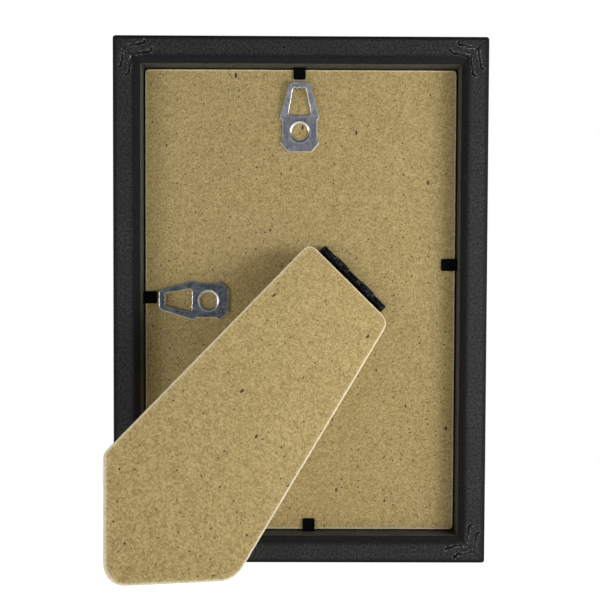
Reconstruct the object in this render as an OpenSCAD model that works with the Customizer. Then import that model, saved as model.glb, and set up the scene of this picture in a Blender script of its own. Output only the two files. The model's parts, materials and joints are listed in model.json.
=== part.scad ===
// Picture frame for a 10 x 15 cm print, seen standing on its easel leg.
//
// The sub-parts are drawn in the frame's own back view: X to the right as seen from behind, Y up
// along the frame, Z out of the back, origin at the centre of the moulding's back face. standing()
// then leans the frame back onto its bottom edge and the leg's foot. After that +Z is up, the
// picture faces -Y, and the origin is the bottom centre of the whole object.

/* [Frame] */
// Outside width of the frame
frame_w = 123.2; // [122:0.2:126]
// Outside height of the frame
frame_h = 173.6; // [173:0.2:178]
// Width of the moulding, outer edge to sight edge
moulding_w = 14; // [13:0.1:15]
// Depth of the moulding, back face to front face
moulding_d = 14; // [13.5:0.5:18]
// Width of the moulding behind the rabbet, outer edge to rabbet wall
back_w = 9; // [8.6:0.1:9.4]
// Backward lean of the standing frame, degrees
lean = 14.8; // [12:0.1:18]

/* [Moulding edges] */
// Rounding of the outer back edge
back_edge_r = 1.1; // [0.8:0.1:1.8]
// Rounding of the outer front edge
front_edge_r = 2.2; // [1:0.1:3]
// Rounding of the four outer corners, seen from behind
corner_r = 1; // [0.5:0.1:1.5]
// Width of the sloped edge beside the rabbet
rabbet_bevel_w = 1.8; // [1:0.1:2]
// Depth of the sloped edge beside the rabbet
rabbet_bevel_d = 1; // [0.5:0.1:1.5]
// Width of the slope round the sight opening
sight_bevel_w = 1.6; // [0.8:0.1:2.4]
// Depth of the slope round the sight opening
sight_bevel_d = 1.8; // [0.8:0.1:2.4]

/* [Picture stack] */
// Distance from the back face down to the backboard
recess = 5.6; // [5:0.1:6.2]
// Thickness of the hardboard backboard
board_t = 2.5; // [2:0.1:3]
// Gap between the backboard's edge and the rabbet wall
board_gap = 0.6; // [0.4:0.1:1.1]
// Thickness of the glass
glass_t = 2; // [1.5:0.1:2.2]
// Width of the print
print_w = 101.6; // [100:0.2:101.6]
// Height of the print
print_h = 152.4; // [150:0.2:152.4]
// Thickness of the print
print_t = 0.3; // [0.2:0.05:0.4]

/* [Easel leg] */
// Opening angle of the leg from the backboard, degrees
leg_angle = 30; // [26:0.5:32]
// Thickness of the hardboard leg
leg_t = 2.6; // [2.2:0.1:3]
// Width of the leg's top edge, left of the hinge point
leg_top_left = 17.4; // [16:0.1:19]
// Width of the leg's top edge, right of the hinge point
leg_top_right = 19.6; // [17:0.1:20]
// Hinge axis to the left end of the leg's top edge
leg_gap_left = 3.6; // [3:0.1:4.2]
// Hinge axis to the right end of the leg's top edge
leg_gap_right = 3.2; // [3:0.1:4.2]
// Hinge axis to the leg's side corner, along the leg
leg_side = 97; // [93:0.2:101]
// Side corner's distance from the leg's centre line
leg_side_x = 15.1; // [13:0.1:17]
// Left end of the foot edge, across the leg
foot_left = 9.2; // [7:0.1:12]
// Right end of the foot edge, across the leg
foot_right = 34.2; // [31:0.1:36]

/* [Hinge] */
// Hinge point, right of the frame's centre
hinge_x = 16.6; // [15:0.1:18]
// Hinge point, above the frame's centre
hinge_y = 8.5; // [7:0.1:10]
// Hinge middle, along its axis from the hinge point
hinge_shift = 1.3; // [0:0.1:2]
// Length of the hinge
hinge_len = 28.8; // [26:0.2:30]
// Outer radius of the knuckles
knuckle_r = 1.3; // [1.2:0.05:1.4]
// Radius of the hinge pin
pin_r = 0.7; // [0.6:0.05:0.8]
// Radial clearance of the pin
pin_play = 0.05; // [0.03:0.01:0.08]
// Thickness of the hinge's sheet steel
leaf_t = 0.55; // [0.45:0.05:0.6]
// Length of each leaf, from the axis
leaf_l = 13; // [11:0.5:15]

/* [Hangers] */
// Thickness of the hangers' sheet steel
hanger_t = 0.7; // [0.5:0.05:0.8]
// Outward bend of the hanging loop, degrees
loop_bend = 6; // [3:0.5:8]
// Teeth in the loop's narrow end
loop_teeth = 3; // [2:1:4]
// Inside radius of the drawn collar
collar_r = 2.6; // [2.4:0.1:2.8]
// Depth of the collar in the board
collar_depth = 1.8; // [1.2:0.1:1.9]

/* [Retainer tabs] */
// Width of a tab
tab_w = 4.1; // [3.6:0.1:4.6]
// Thickness of a tab
tab_t = 0.5; // [0.4:0.05:0.6]
// Depth of a tab's buried half in the moulding
tab_root = 5; // [4:0.5:6]

/* [Corner nails] */
// Thickness of a V-nail
nail_t = 0.4; // [0.3:0.05:0.5]
// Height of a V-nail
nail_h = 7; // [5:0.5:8]
// Length of one wing of a V-nail
nail_wing = 4.6; // [4:0.1:5]
// Flare of a wing from the rail's direction, degrees
nail_flare = 14; // [10:1:16]
// Depth of a V-nail below the back face
nail_sink = 0.25; // [0.1:0.05:0.4]

/* [Hidden] */
$fn = 48;
eps = 0.01;

// Picture stack, from the back face down
stack_gap = 0.05;
board_z = -recess - board_t;
print_z = board_z - 2 * stack_gap - print_t;
glass_z = print_z - stack_gap - glass_t;
rabbet_z = glass_z - stack_gap;
board_w = frame_w - 2 * (back_w + board_gap);
board_h = frame_h - 2 * (back_w + board_gap);
board_corner_r = 1;

// Hinge: the axis lies above the board, at 45 degrees to the frame
hinge_turn = -45;
axis_lift = knuckle_r + 0.2;
hinge_z = -recess + axis_lift;
bore_r = pin_r + pin_play;
wall_mid = (bore_r + knuckle_r) / 2;
knuckles = 5;
knuckle_gap = 0.2;
knuckle_len = (hinge_len - (knuckles - 1) * knuckle_gap) / knuckles;
leg_under = 0.1;
leaf_notch = knuckle_r + 0.25;
stop_play = 0.03;
stop_reach = 2.1;
prong_w = 2;
prong_l = 1.9;
prong_play = 0.05;
prong_x = 9.6;
prong_y = 8;

// Leg: a point s across and t along it from the hinge point is on the ground when the leg is open
round_drop = back_edge_r * (cos(lean) + sin(lean) - 1);
foot_y = hinge_y + leg_under * sin(leg_angle) * sin(45) + frame_h / 2;
foot_z = hinge_z + leg_under * cos(leg_angle);
foot_k = foot_y - foot_z * tan(lean) - round_drop / cos(lean);
function foot_t(s) = (foot_k - s * sin(45)) / (cos(leg_angle) * sin(45) + sin(leg_angle) * tan(lean));
leg_corners = [
    [-leg_top_left, -leg_gap_left],
    [-leg_side_x, -leg_side],
    [foot_left, -foot_t(foot_left)],
    [foot_right, -foot_t(foot_right)],
    [leg_top_right, -leg_gap_right]
];
leg_radii = [3, 2.5, 6, 8, 4];

// Place of the standing object: the rearmost point is on the leg's outer face
leg_back_dir = [-sin(lean) * sin(45), cos(leg_angle) * sin(45) * sin(lean) - sin(leg_angle) * cos(lean)];
leg_out = leg_under + leg_t;
leg_back = max([for (i = [0:4]) round_centre(leg_corners, leg_radii, i) * leg_back_dir
    + leg_radii[i] * norm(leg_back_dir)]);
rear_y = leg_back + (hinge_z + leg_out * cos(leg_angle)) * cos(lean)
    + (hinge_y + frame_h / 2 + leg_out * sin(leg_angle) * sin(45)) * sin(lean);
front_y = (front_edge_r - moulding_d) * cos(lean) + front_edge_r * sin(lean) - front_edge_r;
middle_y = (front_y + rear_y) / 2;

// Hangers: half outlines from the bottom edge up, with the collar's centre at the origin
hanger_base = [[3.95, -6.7], [6.45, -3.8], [6.45, -3.3], [5.8, -2.9], [5.8, 4.1], [6.45, 4.3]];
hanger_bend_y = 4.9;
hanger_loop = [[6.45, hanger_bend_y], [6.45, 5.6], [3.45, 15.7], [2.65, 16.5]];
loop_floor = [[3.1, 5.6], [3.75, 6.2], [2.2, 14.1]];
tooth_depth = 0.5;
collar_wall = 0.55;
collar_lip_r = 0.9;
groove_play = 0.05;
hanger_top_at = [-0.35, 56.4];
hanger_top_turn = 0.6;
hanger_side_at = [-30.7, 0.1];
hanger_side_turn = 89.2;

// Retainer tabs: [x and y where it enters the rabbet wall, turn, reach over the board]
wall_x = frame_w / 2 - back_w;
wall_y = frame_h / 2 - back_w;
tab_top = [-0.5, wall_y, 0, 4];
tab_bottom = [3.1, -wall_y, 180, 4.4];
tab_left = [-wall_x, 1.1, 90, 4.7];
tab_right = [wall_x, 12.3, -90, 5.4];
tab_lift = 0.08;
tab_z = -recess + tab_lift;
tab_pivot = 0.45;
tab_stub = 0.15;
tab_corner_r = 0.6;
slot_play = 0.03;

// V-nails: distances of the two nails from the outer edges, along the mitre
nail_d = [4, 6.5];
nail_lip = 0.8;
nail_lip_turn = 50;
nail_play = 0.05;

// Position of a round corner's centre inside corner i of a convex outline
function unit(v) = v / norm(v);
function before(p, i) = p[(i + len(p) - 1) % len(p)];
function after(p, i) = p[(i + 1) % len(p)];
function to_before(p, i) = unit(before(p, i) - p[i]);
function to_after(p, i) = unit(after(p, i) - p[i]);
function half_angle(p, i) = acos(to_before(p, i) * to_after(p, i)) / 2;
function round_centre(p, r, i) =
    p[i] + unit(to_before(p, i) + to_after(p, i)) * r[i] / sin(half_angle(p, i));
function round_ends(p, r, i) = [
    p[i] + to_before(p, i) * r[i] / tan(half_angle(p, i)),
    p[i] + to_after(p, i) * r[i] / tan(half_angle(p, i))
];
function box_corners(w, h) = [[-w / 2, -h / 2], [w / 2, -h / 2], [w / 2, h / 2], [-w / 2, h / 2]];
function mirrored(half) =
    concat(half, [for (i = [len(half) - 1:-1:0]) [-half[i][0], half[i][1]]]);

// Convex outline with true arcs at its corners
module rounded_outline(corners, radii) {
    polygon([for (i = [0:len(corners) - 1]) each round_ends(corners, radii, i)]);
    for (i = [0:len(corners) - 1])
        translate(round_centre(corners, radii, i)) circle(r = radii[i]);
}

// Leans the frame, drawn in its back view, and sets it down over the origin
module standing() {
    translate([0, -middle_y, -round_drop])
        rotate([-lean, 0, 0])
            translate([0, 0, frame_h / 2])
                rotate([90, 0, 180])
                    children();
}

// Section of the moulding: X inward from the outer edge, Y up to the back face
module moulding_section() {
    difference() {
        polygon([
            [0, 0],
            [back_w - rabbet_bevel_w, 0],
            [back_w, -rabbet_bevel_d],
            [back_w, rabbet_z],
            [moulding_w, rabbet_z],
            [moulding_w, sight_bevel_d - moulding_d],
            [moulding_w - sight_bevel_w, -moulding_d],
            [0, -moulding_d]
        ]);
        edge_waste(back_edge_r);
        translate([0, -moulding_d]) mirror([0, 1]) edge_waste(front_edge_r);
    }
}

// What a round of radius r takes off a corner of the section at the origin, with the metal below it
module edge_waste(r) {
    difference() {
        translate([-eps, -r]) square(r + eps);
        translate([r, -r]) circle(r = r);
    }
}

// One mitred rail along the top of a frame of width w and height h
module mitred_rail(w, h) {
    intersection() {
        translate([w / 2, h / 2, 0])
            rotate([90, 0, -90])
                linear_extrude(w) moulding_section();
        translate([0, h / 2, -moulding_d])
            linear_extrude(moulding_d)
                polygon([
                    [-w / 2, 0],
                    [moulding_w - w / 2, -moulding_w],
                    [w / 2 - moulding_w, -moulding_w],
                    [w / 2, 0]
                ]);
        translate([0, 0, -moulding_d])
            linear_extrude(moulding_d)
                rounded_outline(box_corners(w, h), [for (i = [0:3]) corner_r]);
    }
}

// Rail with the cuts for its V-nails and its retainer tab
module rail(turn, w, h, tab) {
    color("#242425")
        standing()
            difference() {
                rotate([0, 0, turn]) mitred_rail(w, h);
                v_nail_group(nail_play, eps);
                at_tab(tab)
                    translate([-tab_w / 2 - slot_play, -eps - rabbet_bevel_w, tab_z - slot_play])
                        cube([tab_w + 2 * slot_play, tab_root + rabbet_bevel_w + 2 * eps, tab_t + 2 * slot_play]);
            }
}

// One wing of a V-nail with the turned lip at its end
module nail_wing(play, h) {
    half_t = nail_t / 2 + play;
    translate([0, -half_t, 0]) cube([nail_wing, 2 * half_t, h]);
    translate([nail_wing, 0, 0]) cylinder(r = half_t, h = h);
    translate([nail_wing, 0, 0])
        rotate([0, 0, nail_lip_turn])
            translate([0, -half_t, 0]) cube([nail_lip, 2 * half_t, h]);
}

// All V-nails, up to the height top; play widens them all round for their cuts
module v_nail_group(play, top) {
    foot = -nail_sink - nail_h - play;
    for (sx = [0, 1])
        for (sy = [0, 1])
            mirror([sx, 0, 0])
                mirror([0, sy, 0])
                    for (d = nail_d)
                        translate([frame_w / 2 - d, frame_h / 2 - d, foot]) {
                            cylinder(r = nail_t / 2 + play, h = top - foot);
                            rotate([0, 0, 180 - nail_flare])
                                mirror([0, 1, 0]) nail_wing(play, top - foot);
                            rotate([0, 0, nail_flare - 90]) nail_wing(play, top - foot);
                        }
}

// Place of a retainer tab: Y into the rail, from the rabbet wall
module at_tab(tab) {
    translate([tab[0], tab[1], 0]) rotate([0, 0, tab[2]]) children();
}

// Half of a retainer tab that is bent over the board, with a round end at its bend
module retainer_tab(tab) {
    straight = tab[3] - tab_corner_r;
    color("#0b0b0c")
        standing()
            at_tab(tab)
                translate([0, 0, tab_z]) {
                    translate([-tab_w / 2, -straight, 0]) cube([tab_w, straight - tab_pivot, tab_t]);
                    translate([tab_corner_r - tab_w / 2, -tab[3], 0])
                        cube([tab_w - 2 * tab_corner_r, tab_corner_r, tab_t]);
                    for (side = [-1, 1])
                        translate([side * (tab_w / 2 - tab_corner_r), -straight, 0])
                            cylinder(r = tab_corner_r, h = tab_t);
                    translate([-tab_w / 2, -tab_pivot, tab_t / 2])
                        rotate([0, 90, 0]) cylinder(r = tab_t / 2, h = tab_w);
                }
}

// Half of a retainer tab that is driven into the moulding
module retainer_root(tab) {
    color("#0b0b0c")
        standing()
            at_tab(tab)
                translate([-tab_w / 2, -tab_stub, tab_z]) cube([tab_w, tab_stub + tab_root, tab_t]);
}

// Flat sheet with square corners, its front face h below the back face
module plain_sheet(w, h, z, t) {
    translate([-w / 2, -h / 2, z]) cube([w, h, t]);
}

// Place of a hanger: the centre of its collar on the board, Y towards the narrow end of its loop
module at_hanger(at, turn) {
    translate([at[0], at[1], -recess]) rotate([0, 0, turn]) children();
}

// Saw-toothed opening of a hanger's loop
module loop_opening() {
    narrow = loop_floor[2];
    pitch = 2 * narrow[0] / loop_teeth;
    teeth = [for (i = [0:loop_teeth - 1])
        each [[narrow[0] - i * pitch, narrow[1]], [narrow[0] - (i + 0.5) * pitch, narrow[1] + tooth_depth]]];
    left = [for (i = [2:-1:0]) [-loop_floor[i][0], loop_floor[i][1]]];
    polygon(concat([loop_floor[0], loop_floor[1]], teeth, left));
}

// Stamped hanger with a bent-out loop and a collar that is pressed into the board
module hanger(at, turn) {
    standing()
        at_hanger(at, turn)
            difference() {
                union() {
                    linear_extrude(hanger_t)
                        polygon(mirrored(concat(hanger_base, [[hanger_base[5][0], hanger_bend_y]])));
                    translate([0, hanger_bend_y, 0])
                        rotate([loop_bend, 0, 0])
                            translate([0, -hanger_bend_y, 0])
                                linear_extrude(hanger_t)
                                    difference() {
                                        polygon(mirrored(hanger_loop));
                                        loop_opening();
                                    }
                    translate([0, 0, -collar_depth])
                        cylinder(r = collar_r + collar_wall, h = collar_depth + hanger_t / 2);
                }
                translate([0, 0, -collar_depth - eps])
                    cylinder(r = collar_r, h = collar_depth + hanger_t + 2 * eps);
                rotate_extrude() collar_mouth();
            }
}

// What the round mouth takes off the inner edge of a collar
module collar_mouth() {
    difference() {
        translate([collar_r - eps, hanger_t - collar_lip_r]) square(collar_lip_r + eps);
        translate([collar_r + collar_lip_r, hanger_t - collar_lip_r]) circle(r = collar_lip_r);
    }
}

// Groove that a hanger's collar sits in
module collar_groove(at, turn) {
    at_hanger(at, turn)
        translate([0, 0, -collar_depth - groove_play])
            difference() {
                cylinder(r = collar_r + collar_wall + groove_play, h = collar_depth + 2 * groove_play);
                translate([0, 0, -eps])
                    cylinder(r = collar_r - groove_play, h = collar_depth + 2 * (groove_play + eps));
            }
}

// Place of the hinge: X along its axis, Y away from the leg, Z out of the board
module at_hinge() {
    translate([hinge_x, hinge_y, hinge_z]) rotate([0, 0, hinge_turn]) children();
}

// Turns what is drawn flat on the board out to the open leg
module at_leg() {
    at_hinge() rotate([-leg_angle, 0, 0]) children();
}

function knuckle_x(i) = hinge_shift - hinge_len / 2 + i * (knuckle_len + knuckle_gap);

// Knuckle i with its arm, which runs from the notched sheet to y with its underside at z
module knuckle(i, y, z) {
    translate([knuckle_x(i), 0, 0]) rotate([0, 90, 0]) cylinder(r = knuckle_r, h = knuckle_len);
    translate([knuckle_x(i), -leaf_notch - leaf_t, z]) cube([knuckle_len, leaf_notch + leaf_t + y, leaf_t]);
}

// Sheet of a leaf beyond the notches, with its underside at z
module leaf_sheet(z) {
    left = knuckle_x(0);
    translate([0, 0, z])
        linear_extrude(leaf_t)
            rounded_outline([
                [left, -leaf_notch],
                [left, -leaf_l],
                [left + hinge_len, -leaf_l],
                [left + hinge_len, -leaf_notch]
            ], [0.3, 2, 2, 0.3]);
}

module hinge_bore() {
    translate([knuckle_x(0) - eps, 0, 0])
        rotate([0, 90, 0]) cylinder(r = bore_r, h = hinge_len + 2 * eps);
}

// Two pointed prongs from the wood's face at z, down (side -1) or up (side 1), with the sheet's
// thickness behind them; play widens them for their cuts
module prongs(z, side, play) {
    half_w = prong_w / 2 + play;
    tip_w = prong_w / 5 + play;
    for (x = [-prong_x, prong_x])
        translate([hinge_shift + x, -prong_y + play, z])
            rotate([90, 0, 0])
                linear_extrude(leaf_t + 2 * play)
                    polygon([
                        [-half_w, -side * leaf_t],
                        [half_w, -side * leaf_t],
                        [half_w, 0],
                        [tip_w, side * (prong_l + play)],
                        [-tip_w, side * (prong_l + play)],
                        [-half_w, 0]
                    ]);
}

// Windows that the prongs are bent out of, through a leaf with its underside at z
module prong_windows(z) {
    for (x = [-prong_x, prong_x])
        translate([hinge_shift + x - prong_w / 2, -prong_y, z - eps])
            cube([prong_w, prong_l, leaf_t + 2 * eps]);
}

// Stop on the leg's knuckle i: its flat underside lands on the board when the leg is open
module stop_heel(i) {
    under = stop_play - axis_lift;
    translate([knuckle_x(i), 0, 0])
        rotate([90, 0, 90])
            linear_extrude(knuckle_len)
                polygon([
                    [wall_mid / 2, under],
                    [stop_reach, under],
                    [stop_reach, under + leaf_t],
                    [wall_mid, wall_mid / 2]
                ]);
}

module rail_top() { rail(0, frame_w, frame_h, tab_top); }

module rail_bottom() { rail(180, frame_w, frame_h, tab_bottom); }

module rail_left() { rail(90, frame_h, frame_w, tab_left); }

module rail_right() { rail(-90, frame_h, frame_w, tab_right); }

module corner_v_nails() { color("#77777c") standing() v_nail_group(0, -nail_sink); }

module glass_pane() { color("#dfeeea", 0.4) standing() plain_sheet(board_w, board_h, glass_z, glass_t); }

module picture_insert() { color("#d9d6cc") standing() plain_sheet(print_w, print_h, print_z, print_t); }

module backboard() {
    color("#a08c5c")
        standing()
            difference() {
                translate([0, 0, board_z])
                    linear_extrude(board_t)
                        rounded_outline(box_corners(board_w, board_h), [for (i = [0:3]) board_corner_r]);
                collar_groove(hanger_top_at, hanger_top_turn);
                collar_groove(hanger_side_at, hanger_side_turn);
                at_hinge() prongs(-axis_lift, -1, prong_play);
            }
}

module hanger_top() { color("#8e8f9b") hanger(hanger_top_at, hanger_top_turn); }

module hanger_side() { color("#5f6470") hanger(hanger_side_at, hanger_side_turn); }

module hinge_board_leaf() {
    color("#15161a")
        standing()
            at_hinge()
                difference() {
                    union() {
                        leaf_sheet(-axis_lift);
                        for (i = [0:2:knuckles - 1]) knuckle(i, 0, -axis_lift);
                        prongs(-axis_lift, -1, 0);
                    }
                    hinge_bore();
                    prong_windows(-axis_lift);
                }
}

module hinge_leg_leaf() {
    color("#15161a")
        standing()
            difference() {
                union() {
                    at_leg() {
                        leaf_sheet(leg_under - leaf_t);
                        for (i = [1:2:knuckles - 1]) knuckle(i, -wall_mid, leg_under - leaf_t);
                        prongs(leg_under, 1, 0);
                    }
                    at_hinge()
                        for (i = [1:2:knuckles - 1]) stop_heel(i);
                }
                at_leg() {
                    hinge_bore();
                    prong_windows(leg_under - leaf_t);
                }
            }
}

module hinge_pin() {
    color("#2b2c30")
        standing()
            at_hinge()
                translate([knuckle_x(0), 0, 0]) rotate([0, 90, 0]) cylinder(r = pin_r, h = hinge_len);
}

module easel_leg() {
    color("#b29c68")
        standing()
            at_leg()
                difference() {
                    translate([0, 0, leg_under])
                        linear_extrude(leg_t) rounded_outline(leg_corners, leg_radii);
                    prongs(leg_under, 1, prong_play);
                }
}

module retainer_tab_top() { retainer_tab(tab_top); }

module retainer_tab_bottom() { retainer_tab(tab_bottom); }

module retainer_tab_left() { retainer_tab(tab_left); }

module retainer_tab_right() { retainer_tab(tab_right); }

module retainer_root_top() { retainer_root(tab_top); }

module retainer_root_bottom() { retainer_root(tab_bottom); }

module retainer_root_left() { retainer_root(tab_left); }

module retainer_root_right() { retainer_root(tab_right); }

rail_top();
rail_bottom();
rail_left();
rail_right();
corner_v_nails();
glass_pane();
picture_insert();
backboard();
hanger_top();
hanger_side();
hinge_board_leaf();
hinge_leg_leaf();
hinge_pin();
easel_leg();
retainer_tab_top();
retainer_tab_bottom();
retainer_tab_left();
retainer_tab_right();
retainer_root_top();
retainer_root_bottom();
retainer_root_left();
retainer_root_right();
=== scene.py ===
"""Looks of a small picture frame that stands on its easel leg and is seen from behind.

Most pieces are drawn in millimetres in the frame's own back view, "local" below: X to the right
as seen from behind, Y up along the frame, Z out of the back, with the origin at the centre of the
moulding's back face. PLACE takes them to the row frame in metres.
"""
import json
import math

import bmesh
import bpy
from mathutils import Matrix, Vector, kdtree, noise
from mathutils.geometry import convex_hull_2d, delaunay_2d_cdt


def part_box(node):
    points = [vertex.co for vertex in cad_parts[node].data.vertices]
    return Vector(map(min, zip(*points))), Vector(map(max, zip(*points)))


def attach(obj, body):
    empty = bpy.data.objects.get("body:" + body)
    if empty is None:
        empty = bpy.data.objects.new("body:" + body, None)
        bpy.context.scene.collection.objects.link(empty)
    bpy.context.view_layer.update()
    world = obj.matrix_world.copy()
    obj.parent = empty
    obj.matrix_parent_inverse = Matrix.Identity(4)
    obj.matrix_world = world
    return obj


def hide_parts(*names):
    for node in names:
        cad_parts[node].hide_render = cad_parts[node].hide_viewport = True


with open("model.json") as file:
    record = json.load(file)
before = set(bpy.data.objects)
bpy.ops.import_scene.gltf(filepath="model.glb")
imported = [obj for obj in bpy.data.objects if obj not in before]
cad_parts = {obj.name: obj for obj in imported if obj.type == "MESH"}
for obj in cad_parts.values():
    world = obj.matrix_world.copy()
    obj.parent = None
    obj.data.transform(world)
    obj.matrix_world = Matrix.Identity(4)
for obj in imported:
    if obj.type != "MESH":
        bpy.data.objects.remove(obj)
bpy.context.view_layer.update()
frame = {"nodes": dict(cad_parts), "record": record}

MM = 0.001
NODES = frame["nodes"]
RAILS = ("rail_top", "rail_right", "rail_bottom", "rail_left")

# ---------------------------------------------------------------- places, all from the frame


def mount(name):
    return next(m for m in frame["record"]["mounts"] if m["name"] == name)


def joint(name):
    return next(j for j in frame["record"]["behaviour"]["joints"] if j["name"] == name)


def axes_matrix(x, y, z, origin):
    """Local millimetres to the row frame's metres."""
    turn = Matrix((x, y, z)).transposed().to_4x4()
    return Matrix.Translation(origin) @ turn @ Matrix.Scale(MM, 4)


def span(names, direction):
    """Lowest and highest place of some nodes along a direction, in metres."""
    along = [v.co.dot(direction) for name in names for v in NODES[name].data.vertices]
    return min(along), max(along)


OUT = Vector(mount("wall_face")["axis"]).normalized()
RIGHT = Vector((-1, 0, 0))
UP = OUT.cross(RIGHT)
x_low, x_high = span(RAILS, RIGHT)
y_low, y_high = span(RAILS, UP)
z_low, z_high = span(RAILS, OUT)
ORIGIN = RIGHT * (x_low + x_high) / 2 + UP * (y_low + y_high) / 2 + OUT * z_high
PLACE = axes_matrix(RIGHT, UP, OUT, ORIGIN)
FRAME_W = (x_high - x_low) / MM
FRAME_H = (y_high - y_low) / MM


def local_box(name):
    """Lowest and highest corner of a node in local millimetres."""
    inverse = PLACE.inverted()
    points = [inverse @ v.co for v in NODES[name].data.vertices]
    low = Vector(min(p[i] for p in points) for i in range(3))
    high = Vector(max(p[i] for p in points) for i in range(3))
    return low, high


def widest_face_normal(name, towards):
    """Normal of a plate's broad faces, on the side of a given direction."""
    broad = max(NODES[name].data.polygons, key=lambda p: p.area).normal.copy()
    return broad if broad.dot(towards) > 0 else -broad


# The open leg's own axes: X along the hinge, Y from the foot to the hinge, Z out of its outer face
LEG_HINGE = Vector(joint("leg_fold")["pos_m"])
LEG_X = Vector(joint("leg_fold")["axis"]).normalized()
LEG_Z = widest_face_normal("easel_leg", OUT)
LEG_Y = LEG_Z.cross(LEG_X)
LEG_PLACE = axes_matrix(LEG_X, LEG_Y, LEG_Z, LEG_HINGE)

BOARD_TOP = local_box("backboard")[1].z
RABBET_Z = local_box("glass_pane")[0].z - 0.05
# Place of the rabbet's wall, which lies the tab's bend inside it
RABBET_X = local_box("retainer_tab_right")[1].x + 0.2

# ---------------------------------------------------------------- camera

CAMERA_AT = (-1.22, 6.69, 246.2)
CAMERA_TURN = (1.437, 0.259, -0.209)
LENS = 45.0


def make_camera():
    data = bpy.data.cameras.new("camera")
    data.lens = LENS
    data.sensor_width = 36.0
    camera = bpy.data.objects.new("camera", data)
    bpy.context.scene.collection.objects.link(camera)
    turn = Vector(math.radians(a) for a in CAMERA_TURN)
    look = Matrix.Rotation(turn.length, 3, turn.normalized()).transposed()
    basis = Matrix((RIGHT, UP, OUT)).transposed()
    camera.matrix_world = Matrix.Translation(PLACE @ Vector(CAMERA_AT)) @ (basis @ look).to_4x4()
    bpy.context.scene.camera = camera


make_camera()

# ---------------------------------------------------------------- node materials


class Shader:
    """A material whose node tree is built with short calls."""

    def __init__(self, name):
        self.material = bpy.data.materials.new(name)
        self.material.use_nodes = True
        self.tree = self.material.node_tree
        self.tree.nodes.clear()
        self.output = self.add("ShaderNodeOutputMaterial")
        self.surface = self.add("ShaderNodeBsdfPrincipled")
        self.link(self.surface.outputs[0], self.output.inputs[0])

    def add(self, kind, **settings):
        node = self.tree.nodes.new(kind)
        for key, value in settings.items():
            setattr(node, key, value)
        return node

    def link(self, source, target):
        self.tree.links.new(source, target)

    def set(self, **sockets):
        """Uniform values, on the shader's own sockets."""
        for key, value in sockets.items():
            self.surface.inputs[key.replace("_", " ")].default_value = value

    def coords(self, scale=(1, 1, 1), turn=(0, 0, 0), attribute="local"):
        """Millimetre coordinates, of the piece's own shape or of a CAD node."""
        if attribute:
            source = self.add("ShaderNodeAttribute", attribute_name=attribute).outputs["Vector"]
        else:
            source = self.add("ShaderNodeTexCoord").outputs["Object"]
            scale = [s / MM for s in scale]
        mapping = self.add("ShaderNodeMapping")
        mapping.inputs["Scale"].default_value = scale
        mapping.inputs["Rotation"].default_value = [math.radians(a) for a in turn]
        self.link(source, mapping.inputs["Vector"])
        return mapping.outputs[0]

    def noise(self, vector, size, detail=2.0, rough=0.5, distort=0.0):
        """Noise whose features are about size millimetres."""
        node = self.add("ShaderNodeTexNoise")
        node.inputs["Scale"].default_value = 1 / size
        node.inputs["Detail"].default_value = detail
        node.inputs["Roughness"].default_value = rough
        node.inputs["Distortion"].default_value = distort
        self.link(vector, node.inputs["Vector"])
        return node.outputs[0]

    def math(self, operation, a, b=None, clamp=False):
        node = self.add("ShaderNodeMath", operation=operation, use_clamp=clamp)
        for value, socket in zip((a, b), node.inputs):
            if isinstance(value, (int, float)):
                socket.default_value = value
            elif value is not None:
                self.link(value, socket)
        return node.outputs[0]

    def ramp(self, value, low, high, to_low=0.0, to_high=1.0):
        """value from low..high to to_low..to_high, held at the ends."""
        node = self.add("ShaderNodeMapRange")
        for socket, number in zip(node.inputs[1:5], (low, high, to_low, to_high)):
            socket.default_value = number
        self.link(value, node.inputs[0])
        return node.outputs[0]

    def mix(self, factor, a, b, blend="MIX"):
        """Colour a to colour b by a factor."""
        node = self.add("ShaderNodeMix", data_type="RGBA", blend_type=blend)
        for value, socket in zip((factor, a, b), (node.inputs[0], node.inputs[6], node.inputs[7])):
            if isinstance(value, (int, float)):
                socket.default_value = value
            elif isinstance(value, tuple):
                socket.default_value = (*value, 1)
            else:
                self.link(value, socket)
        return node.outputs[2]

    def specks(self, vector, cell, radius, share, seed):
        """Mask of scattered specks: one in a cell of the given width, in a share of the cells."""
        mapping = self.add("ShaderNodeMapping")
        mapping.inputs["Location"].default_value = (seed * 7.3, seed * 3.1, 0)
        self.link(vector, mapping.inputs["Vector"])
        cells = self.add("ShaderNodeTexVoronoi", voronoi_dimensions="2D")
        cells.inputs["Scale"].default_value = 1 / cell
        self.link(mapping.outputs[0], cells.inputs["Vector"])
        lot = self.add("ShaderNodeSeparateColor")
        self.link(cells.outputs["Color"], lot.inputs[0])
        own_radius = self.ramp(lot.outputs[0], 1 - share, 1.0, 0.0, radius / cell)
        inside = self.math("SUBTRACT", own_radius, cells.outputs["Distance"])
        return self.math("MULTIPLY", inside, 3 * cell / radius, clamp=True)

    def bump(self, height, depth, strength=1.0):
        """Relief of a given depth in millimetres."""
        node = self.add("ShaderNodeBump")
        node.inputs["Distance"].default_value = depth * MM
        node.inputs["Strength"].default_value = strength
        self.link(height, node.inputs["Height"])
        self.link(node.outputs[0], self.surface.inputs["Normal"])

    def colour(self, value):
        self.link(value, self.surface.inputs["Base Color"])

    def roughness(self, value):
        self.link(value, self.surface.inputs["Roughness"])


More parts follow.
